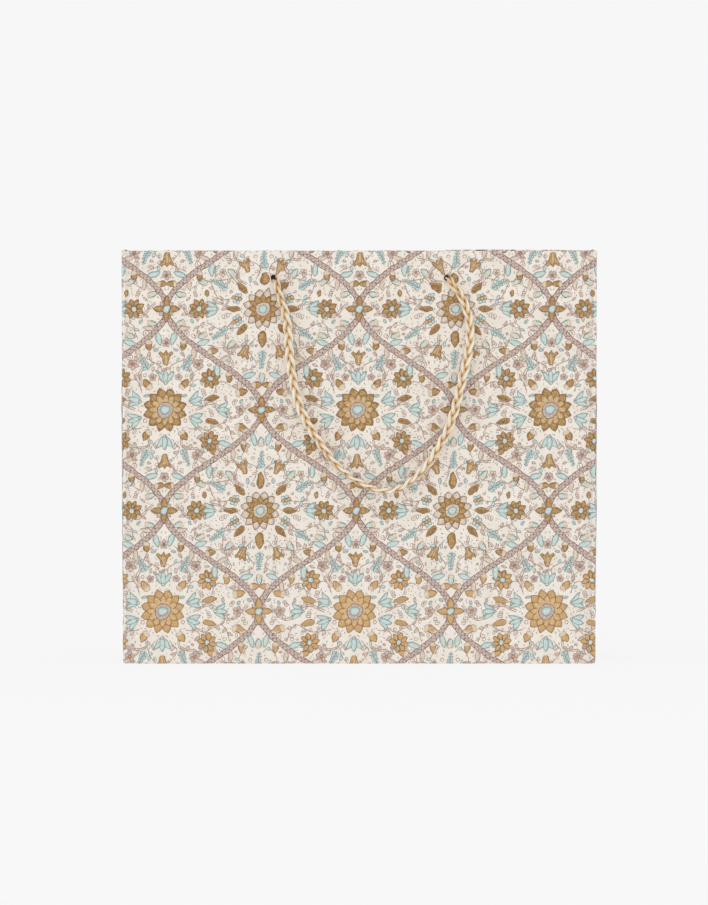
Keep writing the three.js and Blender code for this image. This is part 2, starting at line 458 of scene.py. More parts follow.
def stalk(pen, path, width):
    """A thick stem with an outline and a double row of stipples."""
    p, run = even(path, 1.1)
    half = width / 2 * (1 + 0.05 * np.sin(run * 1.7))
    pen.blade("mauve", 1, p, half)
    pen.blade("brown", 0, p, half + 0.34)
    n = across(p)
    for k in range(1, len(p) - 1):
        shift = (0.28 if k % 2 else -0.28) * width
        pen.dots("dark" if k % 3 else "brown", 3, [p[k] + n[k] * shift], 0.36)
    pen.line("plum", 2, p[1:-1] + n[1:-1] * width * 0.02, 0.11)


def star(pen, r):
    """Eight gold petals round an aqua eye."""
    for k in range(8):
        petal(pen.at(0, 0, 45 * k + 22.5), GOLD, 2, r, r * 0.50, 0, 0.58)
    for k in range(8):
        pen.at(0, 0, 45 * k).line("brown", 6, [(0, 0), (0, r * 0.45)], 0.12)
    pen.ball("teal", 7, 0, 0, r * 0.27, "brown")
    pen.ball("aqua", 9, 0, 0, r * 0.20)


def berries(pen):
    """A loose bunch of seven berries."""
    spots = (0, 0), (1.6, 0.4), (-1.5, 0.7), (0.3, 1.7), (1.9, 2.0), (-1.1, 2.3), (0.5, 3.3)
    for k, (x, y) in enumerate(spots):
        pen.ball("aqua" if k % 3 else "honey", 2, x, y, 0.85, "slate" if k % 3 else "brown", 9)


def floret(pen, colour, r, eye="gold"):
    """A small five-petalled flower."""
    for k in range(5):
        petal(pen.at(0, 0, 72 * k), (colour,), 2, r, r * 0.7, 0, 0.62, "plum", 6)
    pen.ball(eye, 5, 0, 0, r * 0.26, "brown", 8)


def vine(pen, points, double=0.0):
    """A winding stem, single or double, with leaflets, tendrils and dots on alternate sides."""
    p, _ = even(spline(points, 8), 0.9)
    if double:
        n = across(p) * double
        pen.line("fine", 1, p + n, 0.16)
        pen.line("fine", 1, p - n, 0.16)
    else:
        pen.line("fine", 1, p, 0.16)
    side, k = 1, 3
    while k < len(p) - 2:
        here = pen.at(*p[k], heading(p, k) + side * 52)
        kind = rng.randrange(7)
        if kind < 3:
            leaf(here, rng.uniform(2.2, 3.6), rng.uniform(1.1, 1.6), (None, None, "buff")[kind])
        elif kind < 5:
            curl(here.at(0, 0, -90 * side, side), rng.uniform(0.9, 1.5), 1.1, 0.12)
        elif kind < 6:
            tip = p[k] + (0.9 * side, 0.5)
            pen.dots("fine", 1, [tip], 0.3)
            pen.line("fine", 1, [p[k], tip], 0.1)
        else:
            petal(here, ("aqua",), 2, 2.4, 1.3, 0, 0.5, "slate", 6)
        side, k = -side, k + rng.choice((2, 3, 3, 4))


def rosette(pen, r, outer, inner, heart):
    """A round double flower: twelve petals, twelve more between them, and a ringed eye."""
    for k in range(12):
        petal(pen.at(0, 0, 30 * k + 15), outer, 2, r, r * 0.44, 0, 0.62)
    for k in range(12):
        petal(pen.at(0, 0, 30 * k), inner, 5, r * 0.74, r * 0.32, 0, 0.62)
    pen.ball(heart, 9, 0, 0, r * 0.36, "brown", 16)
    for k in range(12):
        tick = pen.at(0, 0, 30 * k)
        tick.line("plum", 10, [(0, r * 0.2), (0, r * 0.34)], 0.12)
    pen.ball("teal", 11, 0, 0, r * 0.21, "slate")
    pen.ball("aqua", 13, 0, 0, r * 0.15)


def ogee(n=26):
    """A stem's curve from a node to the next one, half a repeat across and down."""
    t = np.linspace(0, 1, n)
    return np.stack([COLUMN * (0.5 - 0.5 * np.cos(math.pi * t)), -PERIOD_V / 2 * t], 1)


def cell_reach(turn):
    """How far a cell of the trellis goes from its middle in a direction."""
    a = math.radians(turn)
    for r in np.arange(12.0, 47.0, 0.5):
        x, y = r * math.sin(a), abs(r * math.cos(a))
        if y > PERIOD_V / 2 or x > COLUMN * (0.5 + 0.5 * math.cos(2 * math.pi * y / PERIOD_V)) - 3:
            break
    return r


def stem(pen):
    """A trellis stem with leaves, buds and tendrils on both sides; the pen stands on its upper node."""
    path = ogee()
    stalk(pen, path, 2.1)
    for k in range(5, len(path) - 5, 2):
        for side in (-1, 1):
            here = pen.at(*path[k], heading(path, k) + side * 50).at(0, 1.5)
            kind = (k // 2 + (side > 0) * 2) % 4
            if kind == 0:
                petal(here, AQUA, 3, 6.4, 2.7, 0.1 * side, 0.45, "slate")
            elif kind == 1:
                bud(here, GOLD, 5.0, 2.9)
            elif kind == 2:
                petal(here, ("mauve", "buff"), 3, 5.4, 2.3, 0.1 * side, 0.42, "plum")
            else:
                curl(here.at(0, 0, 0, side), 1.7)


MOTIFS = {
    "fern": lambda pen: feather(pen, AQUA, 9.0, 4.0),
    "flower": lambda pen: star(pen, 5.0),
    "tulip": lambda pen: tulip(pen, AQUA, 6.6),
    "bud": lambda pen: bud(pen, GOLD, 5.8, 3.5),
    "small bud": lambda pen: bud(pen, AQUA, 5.0, 2.8),
    "gold leaf": lambda pen: petal(pen, DEEP, 3, 7.0, 2.9, 0, 0.42),
    "bell": lambda pen: bell(pen, ("gold", "honey"), 6.8, 5.6, "brown"),
    "floret": lambda pen: floret(pen, "mauve", 2.7),
    "berries": berries,
}
# (distance, direction from straight up) of a cell's motifs, on its right half and mirrored; first
# the middle cell, then the corner cell
CELLS = (
    (
        ("bud", ((12.4, 36), (12.4, 144), (35, 77), (35, 103))),
        ("tulip", ((12.6, 72), (12.6, 108), (25, 90))),
        ("fern", ((21, 24), (21, 156))),
        ("flower", ((26.5, 55), (26.5, 125))),
        ("gold leaf", ((20, 76), (20, 104))),
        ("floret", ((36.5, 90), (27, 36), (27, 144))),
    ),
    (
        ("gold leaf", ((10.8, 45), (10.8, 90), (10.8, 135))),
        ("berries", ((12, 67), (12, 113))),
        ("fern", ((20, 60), (20, 120))),
        ("flower", ((31, 90),)),
        ("bell", ((19, 22), (19, 158))),
        ("tulip", ((21.5, 90),)),
        ("small bud", ((38, 80), (38, 100), (20.5, 41), (20.5, 139), (29.5, 66), (29.5, 114))),
    ),
)


def cell(pen, motifs):
    """The right half of a cell round its rosette; the pen stands on the rosette."""
    for name, spots in motifs:
        for r, turn in spots:
            MOTIFS[name](pen.at(0, 0, turn).at(0, r))
    for k, turn in enumerate((13, 33, 52, 70, 90, 110, 128, 147, 167)):
        start, far = 14.5, 0.94 * cell_reach(turn)
        sway = 7 if k % 2 else -7
        spots = []
        for share, aside in ((0, 0), (0.35, sway), (0.7, -sway), (1, 0.6 * sway)):
            r, a = start + (far - start) * share, math.radians(turn + aside)
            spots.append((r * math.sin(a), r * math.cos(a)))
        vine(pen, spots, 0.42 if k % 3 == 1 else 0.0)


def draw_repeat():
    """One repeat of the print: an ogee trellis with a rosette in each cell.

    u runs from -half to +half a period and v down.
    """
    page = Pen()
    low = -PERIOD_V / 2
    rosette(page.at(0, low), 10.8, GOLD, ("gold", "honey"), "mauve")
    rosette(page.at(COLUMN, 0), 9.6, ("mauve", "buff"), GOLD, "buff")
    for turn in (0, 180):
        middle, corner = page.at(0, low, turn), page.at(COLUMN, 0, turn)
        tulip(middle.at(0, 12.6), AQUA, 7.0)
        bell(middle.at(0, 21.4), ("gold", "honey"), 7.2, 6.2, "brown")
        floret(middle.at(0, 32.6), "mauve", 2.4)
        petal(corner.at(0, 10.6), GOLD, 3, 8.2, 3.8, 0, 0.4)
        feather(corner.at(0, 20.2), AQUA, 9.4, 4.2)
        bud(corner.at(0, 31.0), AQUA, 4.8, 2.8)
    for node in (page, page.at(COLUMN, low)):
        for turn in (0, 90, 180, 270):
            petal(node.at(0, 0, turn), GOLD, 6, 6.6, 3.2, 0, 0.45)
            petal(node.at(0, 0, turn + 45), ("mauve",), 5, 4.6, 2.3, 0, 0.5, "plum", 7)
        node.ball("teal", 10, 0, 0, 1.9, "brown")
        node.ball("aqua", 12, 0, 0, 1.3)
    for side in (-1, 1):
        half = Pen(page.m @ np.array([[side, 0, 0], [0, 1, 0], [0, 0, 1.0]]))
        stem(half)
        stem(half.at(COLUMN, low, 0, -1))
        cell(half.at(0, low), CELLS[0])
        cell(half.at(COLUMN, 0, 0, -1), CELLS[1])
    local = random.Random(11)
    spots = [(local.uniform(-COLUMN, COLUMN), -local.uniform(0, PERIOD_V)) for _ in range(420)]
    page.dots("fine", 0, spots[:260], 0.26)
    page.dots("slate", 0, spots[260:340], 0.26)
    page.dots("brown", 0, spots[340:], 0.22)


draw_repeat()


def fill_gaps():
    """Small sprigs, curls, leaves and dashes where the half repeat is still bare, and their mirror images."""
    taken = []
    for _, _, pts in bits:
        c = pts.mean(0)
        taken += [c, *pts]
        if np.ptp(pts[:, 0]) + np.ptp(pts[:, 1]) > 2.5:
            taken += [(c + q) / 2 for q in pts]
    taken = np.array(taken)
    taken = np.vstack([taken + (0, dv) for dv in (-PERIOD_V, 0, PERIOD_V)])
    u, v = taken.T
    taken = taken[(u > -6) & (u < COLUMN + 6) & (v > -6) & (v < PERIOD_V + 6)]
    local = random.Random(23)
    for least, tries in ((3.0, 500), (2.1, 900), (1.45, 1600), (0.95, 2400), (0.78, 900)):
        for _ in range(tries):
            u, v = local.uniform(0.4, COLUMN - 0.4), local.uniform(0, PERIOD_V)
            room = float(np.min(np.hypot(taken[:, 0] - u, taken[:, 1] - v)))
            room = min(room, u + 0.5, COLUMN - u + 0.5)
            if room < least:
                continue
            turn, kind = local.uniform(0, 360), local.random()
            r = min(room, least * 1.25)
            for side in (-1, 1):
                here = Pen(np.array([[side, 0, 0], [0, -1, 0.0]])).at(u, -v, turn)
                sprig(here, r, kind)
            a = np.linspace(0, 2 * math.pi, 10, endpoint=False)
            disc = [(u + f * r * math.cos(b), v + f * r * math.sin(b)) for b in a for f in (0.35, 0.8)]
            taken = np.vstack([taken, [(u, v)], disc])


def sprig(pen, r, kind):
    """A filler about 2 r across; kind is from 0 to 1."""
    if r > 2.9:
        pen.line("fine", 1, [(0, -r * 0.9), (0.2 * r, -r * 0.3), (0, r * 0.3)], 0.16)
        tint, leaf_edge, petal_edge = (
            ("aqua", "slate", "slate"), ("buff", "fine", "brown"), ("mauve", "fine", "brown")
        )[int(kind * 2.99)]
        for turn in (-70, 70):
            leaf(pen.at(0.1 * r, -r * 0.4, turn), r * 0.8, r * 0.42)
            leaf(pen.at(0, r * 0.2, turn * 0.6), r * 0.8, r * 0.42, tint, leaf_edge)
        petal(pen.at(0, r * 0.1), (tint,), 3, r * 0.9, r * 0.5, 0, 0.5, petal_edge, 7)
    elif r > 2.0:
        if kind < 0.4:
            curl(pen.at(-r * 0.2, 0), r * 0.55, 1.2, 0.15)
            curl(pen.at(r * 0.2, 0, 180), r * 0.55, 1.2, 0.15)
        elif kind < 0.7:
            floret(pen, "buff" if kind < 0.55 else "mauve", r * 0.8, "honey")
        else:
            tints, edge = (AQUA, "slate") if kind < 0.85 else (("gold",), "brown")
            petal(pen.at(0, -r * 0.7), tints, 2, r * 1.4, r * 0.8, 0, 0.5, edge, 7)
    elif r > 1.4:
        if kind < 0.35:
            leaf(pen.at(0, -r * 0.8), r * 1.6, r * 0.8)
        elif kind < 0.6:
            curl(pen.at(-r * 0.5, 0), r * 0.55, 1.2, 0.15)
        elif kind < 0.8:
            leaf(pen.at(0, -r * 0.8), r * 1.6, r * 0.8, "aqua", "slate")
        else:
            pen.ring("fine", 1, 0, 0, r * 0.5, 0.15, 9)
    elif kind < 0.5:
        pen.line("fine", 1, [(-r * 0.5, -r * 0.2), (0, r * 0.25), (r * 0.5, -r * 0.1)], 0.15)
    elif kind < 0.8:
        pen.dots("brown", 1, [(-r * 0.4, 0), (r * 0.4, 0.2 * r)], 0.26)
    else:
        pen.dots("slate", 1, [(0, 0), (r * 0.5, r * 0.3)], 0.28)


fill_gaps()


def unsteady():
    """The block-printed hand: every point moves a little with a field of its place."""
    noise.seed_set(7)  # without a seed, Blender starts noise_vector somewhere else in every run
    for k, (colour, layer, pts) in enumerate(bits):
        moved = []
        for u, v in pts:
            a = noise.noise_vector(Vector((u * 0.42, v * 0.42, 3.0)))
            b = noise.noise_vector(Vector((u * 1.7, v * 1.7, 9.0)))
            moved.append((u + 0.46 * a.x + 0.22 * b.x, v + 0.46 * a.y + 0.22 * b.y))
        bits[k] = (colour, layer, np.array(moved))


unsteady()
boxes = np.array([[*b[2].min(0), *b[2].max(0)] for b in bits])


def cut(poly, axis, value, keep_above):
    """The part of a convex polygon on one side of a line."""
    out = []
    sign = 1 if keep_above else -1
    n = len(poly)
    for k in range(n):
        a, b = poly[k], poly[(k + 1) % n]
        da, db = sign * (a[axis] - value), sign * (b[axis] - value)
        if da >= 0:
            out.append(a)
        if (da > 0 > db) or (da < 0 < db):
            f = da / (da - db)
            out.append((a[0] + (b[0] - a[0]) * f, a[1] + (b[1] - a[1]) * f))
    return out


def area(poly):
    return 0.5 * sum(
        poly[k][0] * poly[(k + 1) % len(poly)][1]
        - poly[(k + 1) % len(poly)][0] * poly[k][1]
        for k in range(len(poly))
    )


SLIVER = 0.005  # cut pieces smaller than this are left out, sq mm


def printed(lines_s, lines_t, skip):
    """The print inside a window of the developed sheet, cut along the sheet's own grid.

    Gives (ink, layer, cell column, cell row, points) for each cut piece.
    """
    s0, s1, t0, t1 = lines_s[0], lines_s[-1], lines_t[0], lines_t[-1]
    out = []
    lean_s = LEAN * (NODE_T - t0 + 60)
    first_i, last_i = math.floor((s0 - NODE_S) / PERIOD_U), math.ceil((s1 + lean_s - NODE_S) / PERIOD_U)
    first_k, last_k = math.floor((NODE_T - t1) / PERIOD_V), math.ceil((NODE_T - t0) / PERIOD_V)
    for i in range(first_i - 1, last_i + 2):
        for k in range(first_k - 1, last_k + 2):
            # page v is down; s = NODE_S + u + i P - LEAN (v + k P), t = NODE_T - v - k P
            lo_t = NODE_T - boxes[:, 3] - k * PERIOD_V
            hi_t = NODE_T - boxes[:, 1] - k * PERIOD_V
            lo_s = NODE_S + boxes[:, 0] + i * PERIOD_U - LEAN * (NODE_T - lo_t)
            hi_s = NODE_S + boxes[:, 2] + i * PERIOD_U - LEAN * (NODE_T - hi_t)
            inside = np.nonzero((hi_s > s0) & (lo_s < s1) & (hi_t > t0) & (lo_t < t1))[0]
            for q in inside:
                colour, layer, pts = bits[q]
                t = NODE_T - pts[:, 1] - k * PERIOD_V
                s = NODE_S + pts[:, 0] + i * PERIOD_U - LEAN * (NODE_T - t)
                a0, a1, b0, b1 = s.min(), s.max(), t.min(), t.max()
                poly = list(zip(s.tolist(), t.tolist()))
                c0 = max(0, int(np.searchsorted(lines_s, a0, "right")) - 1)
                c1 = min(len(lines_s) - 2, int(np.searchsorted(lines_s, a1, "left")) - 1)
                r0 = max(0, int(np.searchsorted(lines_t, b0, "right")) - 1)
                r1 = min(len(lines_t) - 2, int(np.searchsorted(lines_t, b1, "left")) - 1)
                for c in range(c0, c1 + 1):
                    column = poly
                    if a0 < lines_s[c]:
                        column = cut(column, 0, lines_s[c], True)
                    if a1 > lines_s[c + 1]:
                        column = cut(column, 0, lines_s[c + 1], False)
                    if len(column) < 3:
                        continue
                    for r in range(r0, r1 + 1):
                        if (c, r) in skip:
                            continue
                        cell = column
                        if b0 < lines_t[r]:
                            cell = cut(cell, 1, lines_t[r], True)
                        if b1 > lines_t[r + 1]:
                            cell = cut(cell, 1, lines_t[r + 1], False)
                        if len(cell) >= 3 and abs(area(cell)) > SLIVER:
                            out.append((colour, layer, c, r, cell))
    return out


# ---------------------------------------------------------------- sheets
INK_LOW, INK_STEP = 0.03, 0.02  # height of the print's lowest layer over the paper, and of each layer over it


def mesh_object(name, verts, faces, mats, indices=None, uvs=None, smooth=True):
    mesh = bpy.data.meshes.new(name)
    mesh.from_pydata([tuple(v) for v in verts], [], faces)
    for m in mats:
        mesh.materials.append(m)
    if indices is not None:
        mesh.polygons.foreach_set("material_index", indices)
    if uvs is not None:
        layer = mesh.uv_layers.new(name="UVMap")
        loops = np.zeros(len(mesh.loops), int)
        mesh.loops.foreach_get("vertex_index", loops)
        layer.data.foreach_set("uv", np.asarray(uvs, float)[loops].ravel())
    mesh.polygons.foreach_set("use_smooth", [smooth] * len(mesh.polygons))
    mesh.update()
    ob = bpy.data.objects.new(name, mesh)
    bpy.context.scene.collection.objects.link(ob)
    return ob


def steps(a, b, size, extra=()):
    """Grid lines from a to b about size apart, with the extra lines among them."""
    marks = sorted({a, b, *[e for e in extra if a < e < b]})
    out = [a]
    for lo, hi in zip(marks, marks[1:]):
        n = max(1, round((hi - lo) / size))
        out += [lo + (hi - lo) * k / n for k in range(1, n + 1)]
    return np.array(out)


def profile(t, fold):
    """The sheet at developed height t, folded in at the top to depth fold.

    Gives its distance in from the wall, its height and the turn of its outward normal.
    """
    r = fold / 2
    if t < FOOT:
        a = (FOOT - t) / FOOT
        return FOOT - FOOT * math.cos(a), FOOT - FOOT * math.sin(a), -a
    if t <= HEIGHT - r:
        return 0.0, t, 0.0
    a = (t - (HEIGHT - r)) / r
    if a <= math.pi:
        return r - r * math.cos(a), HEIGHT - r + r * math.sin(a), a
    return fold, HEIGHT - r - (t - (HEIGHT - r) - math.pi * r), math.pi


def fade(x, a, b):
    """0 up to a, 1 from b on, smooth between."""
    k = min(1.0, max(0.0, (x - a) / (b - a)))
    return k * k * (3 - 2 * k)


class Wall:
    """A wall of the bag on the developed sheet.

    where(s) gives the wall's (x, y) and its outward direction at developed length s.
    """

    def __init__(self, where, fold, sink, lift=None):
        self.where, self.fold, self.sink, self.lift = where, fold, sink, lift

    def point(self, s, t):
        (x, y), (nx, ny) = self.where(s)
        inward, z, turn = profile(t, self.fold)
        inward += self.sink(s, z) if turn == 0 else 0.0
        if self.lift:
            z += self.lift(x, y) * fade(z, 150, HEIGHT)
        narrow = 1 - TAPER * (1 - z / HEIGHT)
        c, up = math.cos(turn), math.sin(turn)
        return ((x - nx * inward) * narrow, y - ny * inward, z), (nx * c, ny * c, up)


def hole_grid(lines_s, lines_t, holes):
    """Cells inside the square of each hole, and how far each grid corner moves to make that square round."""
    skip, move = set(), {}
    near = HOLE_LINES[-1]
    for hs, ht in holes:
        for c in range(len(lines_s) - 1):
            for r in range(len(lines_t) - 1):
                cs, ct = (lines_s[c] + lines_s[c + 1]) / 2, (lines_t[r] + lines_t[r + 1]) / 2
                if max(abs(cs - hs), abs(ct - ht)) < HOLE_R:
                    skip.add((c, r))
        for c, s in enumerate(lines_s):
            for r, t in enumerate(lines_t):
                ds, dt = s - hs, t - ht
                m, e = max(abs(ds), abs(dt)), math.hypot(ds, dt)
                if m < near and e > 1e-6:
                    f = min(1.0, (near - m) / (near - HOLE_R))
                    k = (1 - f) + f * (m / e) * HOLE_SEEN / HOLE_R
                    move[c, r] = (ds * (k - 1), dt * (k - 1))
    return skip, move


def sheet_pieces(name, wall, lines_s, lines_t, holes=(), thick=SHEET, bare=None):
    """The paper sheet with its thickness, and its print as two thin pieces (fills and lines).

    bare: one plain material instead of the printed paper, and no print.
    """
    skip, move = hole_grid(lines_s, lines_t, holes)
    ns, nt = len(lines_s), len(lines_t)
    face, normal, uv = np.zeros((ns, nt, 3)), np.zeros((ns, nt, 3)), np.zeros((ns, nt, 2))
    for c in range(ns):
        for r in range(nt):
            ds, dt = move.get((c, r), (0, 0))
            face[c, r], normal[c, r] = wall.point(lines_s[c] + ds, lines_t[r] + dt)
            uv[c, r] = (lines_s[c] + ds, lines_t[r] + dt)
    back = face - normal * thick
    verts = np.concatenate([face.reshape(-1, 3), back.reshape(-1, 3)]) * MM
    n = ns * nt
    faces, kinds = [], []
    at = lambda c, r: c * nt + r
    edges = {}  # edges of front cells that no other cell shares, in order
    # which way round a front cell goes, so that it faces outward
    a, b, d = face[0, 0], face[1, 0], face[0, 1]
    turned = np.dot(np.cross(b - a, d - a), normal[0, 0]) < 0
    for c in range(ns - 1):
        for r in range(nt - 1):
            if (c, r) in skip:
                continue
            q = [at(c, r), at(c + 1, r), at(c + 1, r + 1), at(c, r + 1)]
            if turned:
                q.reverse()
            faces += [q, [v + n for v in reversed(q)]]
            kinds += [0, 1]
            for u, v in zip(q, q[1:] + q[:1]):
                if (v, u) in edges:
                    del edges[v, u]
                else:
                    edges[u, v] = None
    for u, v in edges:
        faces.append([v, u, u + n, v + n])
        kinds.append(1)
    used = sorted({v for f in faces for v in f})
    slim = {v: k for k, v in enumerate(used)}
    faces = [[slim[v] for v in f] for f in faces]
    uvs = np.concatenate([uv.reshape(-1, 2)] * 2)[used] / 100
    mats = [bare, bare] if bare else [GROUND, LINING]
    made = [mesh_object(name, verts[used], faces, mats, kinds, uvs, not bare)]
    if bare:
        return made
    cells = [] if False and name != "front_sheet" else printed(lines_s, lines_t, skip)
    for kind in ("fills", "lines"):
        part = [b for b in cells if (b[0] in LINES) == (kind == "lines")]
        if not part:
            continue
        corners = [len(b[4]) for b in part]
        st = np.array([p for b in part for p in b[4]])
        c, r = np.repeat([b[2] for b in part], corners), np.repeat([b[3] for b in part], corners)
        h = np.repeat([INK_LOW + INK_STEP * b[1] for b in part], corners)
        fs = ((st[:, 0] - lines_s[c]) / (lines_s[c + 1] - lines_s[c]))[:, None]
        ft = ((st[:, 1] - lines_t[r]) / (lines_t[r + 1] - lines_t[r]))[:, None]
        blend = lambda g: (
            g[c, r] * (1 - fs) * (1 - ft)
            + g[c + 1, r] * fs * (1 - ft)
            + g[c + 1, r + 1] * fs * ft
            + g[c, r + 1] * (1 - fs) * ft
        )
        where = (blend(face) + blend(normal) * h[:, None]) * MM
        names = sorted({b[0] for b in part})
        faces, k = [], 0
        for b in part:
            loop = list(range(k, k + len(b[4])))
            # the page is turned over on sheets where s runs the other way
            if (area(b[4]) < 0) != turned:
                loop.reverse()
            faces.append(loop)
            k += len(b[4])
        inks, indices = [INKS[i] for i in names], [names.index(b[0]) for b in part]
        made.append(mesh_object(f"{name}_print_{kind}", where, faces, inks, indices, blend(uv) / 100, False))
    return made


def wobble(x, y, seed, size=0.25):
    return size * noise.noise(Vector((x / 38, y / 38, seed)))


def sunk(s, z, deep, groove, wave):
    """A face bent in by deep at the crease and less above and below it, with a narrow groove and a wave."""
    bend = deep * z / CREASE_Z if z < CREASE_Z else deep * max(0.0, 1 - (z - CREASE_Z) / 112)
    bend += groove * math.exp(-(((z - CREASE_Z) / 0.55) ** 2))
    rest = wave * fade(z, 4, 30) * fade(160 - z, 0, 30)
    return (bend + rest) * fade(HALF_W - abs(s), 1.5, 30)


def front_sink(s, z):
    """How far the front lies in from flat: the base's crease, deeper at the right, and a soft wave."""
    return sunk(s, z, 0.8 + 0.9 * fade(s, 20, 105), 0.3, 0.3 + wobble(s, z, 1.5))


def back_sink(s, z):
    return sunk(s, z, 0.7, 0.25, 0.35 + wobble(s, z, 7.5, 0.3))


FLAT = HALF_W - CORNER  # where the flat of the front ends and the corner starts
ARC = CORNER * math.pi / 2
SIDE_Y = HALF_D - CORNER


def front_where(s):
    return (s, -HALF_D), (0, -1)


def corner_where(side, near):
    """A corner and its gusset half: near is -1 at the front and 1 at the back.

    q is the developed length from the end of the flat, round the corner and on to the gusset's crease.
    """

    def where(q):
        if q <= ARC:
            a = q / CORNER
            return (
                (side * (FLAT + CORNER * math.sin(a)), near * (SIDE_Y + CORNER * math.cos(a))),
                (side * math.sin(a), near * math.cos(a)),
            )
        y = SIDE_Y - (q - ARC)
        return (side * HALF_W, near * y), (side, 0)

    return where


GUSSET = ARC + SIDE_Y  # developed width of a gusset half with its corner
TOP_GUSSET, TOP_FACE = 1.1, 2.2  # depth of the folded tops
CREASE_GAP = 0.15  # what a gusset half leaves free at the crease


def gusset_sink(q, z, seed):
    """Gusset halves stand slightly proud between the corner and the crease."""
    k = max(0.0, min(1.0, (q - ARC) / (SIDE_Y - CREASE_GAP)))
    arch = math.sin(math.pi * k)
    proud = 0.8 * arch**1.6 * fade(z, 0, 60) * (1 - 0.75 * fade(z, 120, 165))
    return -proud + wobble(q, z, seed, 0.15) * arch * fade(160 - z, 0, 30) * fade(z, 4, 20)


def top_of(fold):
    """Developed height where the hem ends."""
    return HEIGHT - fold / 2 + math.pi * fold / 2 + (HEIGHT - fold / 2 - (HEIGHT - HEM))


def t_lines(fold, start, end, holes):
    r = fold / 2
    foot = [FOOT * (1 - a) for a in (math.pi / 2, 1.18, 0.79, 0.39)] + [FOOT]
    arc = [HEIGHT - r + r * math.pi * k / 8 for k in range(9)]
    extra = [*foot, *arc, CREASE_Z - 0.7, CREASE_Z, CREASE_Z + 0.7]
    for h in holes:
        extra += [h + d for d in HOLE_LINES]
    return steps(start, end, GRID, extra)


def hole_t(fold):
    """Developed heights of the handle hole in the wall and in the hem behind it."""
    r = fold / 2
    return HOLE_Z, HEIGHT - r + math.pi * r + (HEIGHT - r - HOLE_Z)


FOOT_T = FOOT - FOOT * math.pi / 2


def face_sheet(name, wall, s0, s1, t0, t1, holes):
    lines_s = steps(s0, s1, GRID, [h + d for h in holes for d in HOLE_LINES])
    hts = hole_t(TOP_FACE) if holes else ()
    lines_t = t_lines(TOP_FACE, t0, t1, hts)
    return sheet_pieces(name, wall, lines_s, lines_t, [(h, t) for h in holes for t in hts])


def ride_all(parts, body):
    for p in parts:
        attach(p, body)


def blend_all(parts):
    for p in parts:
        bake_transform(p)


# ---------------------------------------------------------------- cords
FRONT_ROUTE = [
    (-40.3, 0, 0.9), (-39.8, 0, 3.6), (-38.4, 0, 9), (-36.5, 0, 14.5), (-35, 0.6, 21),
    (-34.3, 1.2, 28), (-33.9, 1.7, 35), (-32.9, 2, 44), (-31, 2, 54.5), (-28.1, 1.8, 64),
    (-24.1, 1.5, 72), (-19.6, 1.2, 79), (-15.4, 1, 85), (-10.7, 0.8, 90.8), (-5.2, 0.6, 95.6),
    (1.2, 0.4, 99.6), (8, 0.3, 102.3), (14.4, 0.3, 103.2), (20.1, 0.4, 101.6), (25.6, 0.6, 98),
    (30.7, 0.8, 93.2), (35.3, 1, 87.2), (39.5, 1.2, 80.2), (43.1, 1.5, 73), (45.9, 1.8, 65),
    (48.1, 2, 56.5), (50.1, 2.1, 48), (52, 2, 40), (53.3, 1.6, 32.5), (53.6, 1, 25.5),
    (52.8, 0.3, 18.6), (51, 0, 12.4), (48.1, 0, 7), (44.9, 0, 3), (43.1, 0, -0.2),
]
BACK_ROUTE = [
    (-41.3, 0, -0.6), (-42.4, 0, 5), (-45.2, 0, 13), (-49, 0.7, 22), (-52.4, 1.3, 31.5),
    (-54.2, 1.8, 41.5), (-53.4, 2, 51.5), (-49.6, 2, 61), (-43, 1.8, 69.5), (-34, 1.5, 76.6),
    (-23, 1.1, 82.2), (-10.8, 0.8, 86), (2, 0.6, 87.4), (14.8, 0.8, 86.2), (27, 1.1, 82.4),
    (38, 1.5, 76.2), (47, 1.8, 67.8), (53.2, 2, 57.6), (56, 1.9, 46.4), (55.2, 1.6, 35),
    (52, 0.9, 24.4), (48, 0, 14.8), (44.6, 0, 6.2), (42.7, 0, -0.6),
]


def cord_material():
    """Silky three-strand cord: gold silk with a painted highlight on the strands' crowns, painted shade in
    the grooves and dark painted shade where it runs through the hole, and fine filaments along each strand.
    """
    m, t, s = material("cord_silk", 0.42, 0.5)
    uv = uv_of(t)
    threads = noise_of(t, stretched(t, uv, (26, 1.1, 1)), 1.0, 3, 0.6)
    fine = noise_of(t, stretched(t, uv, (70, 2.2, 1)), 1.0, 3, 0.6)
    painted_light_value = put(t, "ShaderNodeAttribute", attribute_name="painted_light").outputs["Fac"]
    # painted light: the painted highlight and groove shade value mixed with the filaments
    lift = mix(t, 0.42, painted_light_value, threads)
    lift = mix(t, 0.16, lift, fine)
    # painted shade: the lowest values, in the deepest grooves and where the cord runs through the hole, are
    # multiplied down to dark brown
    painted_deep_shade = ramp(t, painted_light_value, [(0.02, srgb(98, 70, 46)), (0.06, grey(1.0))])
    # the cord's own gold tones, spread from painted groove shade (dark brown) to painted crown highlight
    # (near white)
    colour = ramp(
        t,
        lift,
        [
            (0.13, srgb(146, 102, 62)),
            (0.25, srgb(208, 160, 104)),
            (0.37, srgb(240, 206, 156)),
            (0.50, srgb(255, 246, 226)),
        ],
    )
    t.links.new(mix(t, 1.0, colour, painted_deep_shade, "MULTIPLY"), s.inputs["Base Color"])
    s.inputs["Sheen Weight"].default_value = 0.25
    s.inputs["Sheen Roughness"].default_value = 0.4
    bump(t, s, mix(t, 0.5, threads, fine), 1.0, 0.0004)
    return m


SILK = cord_material()


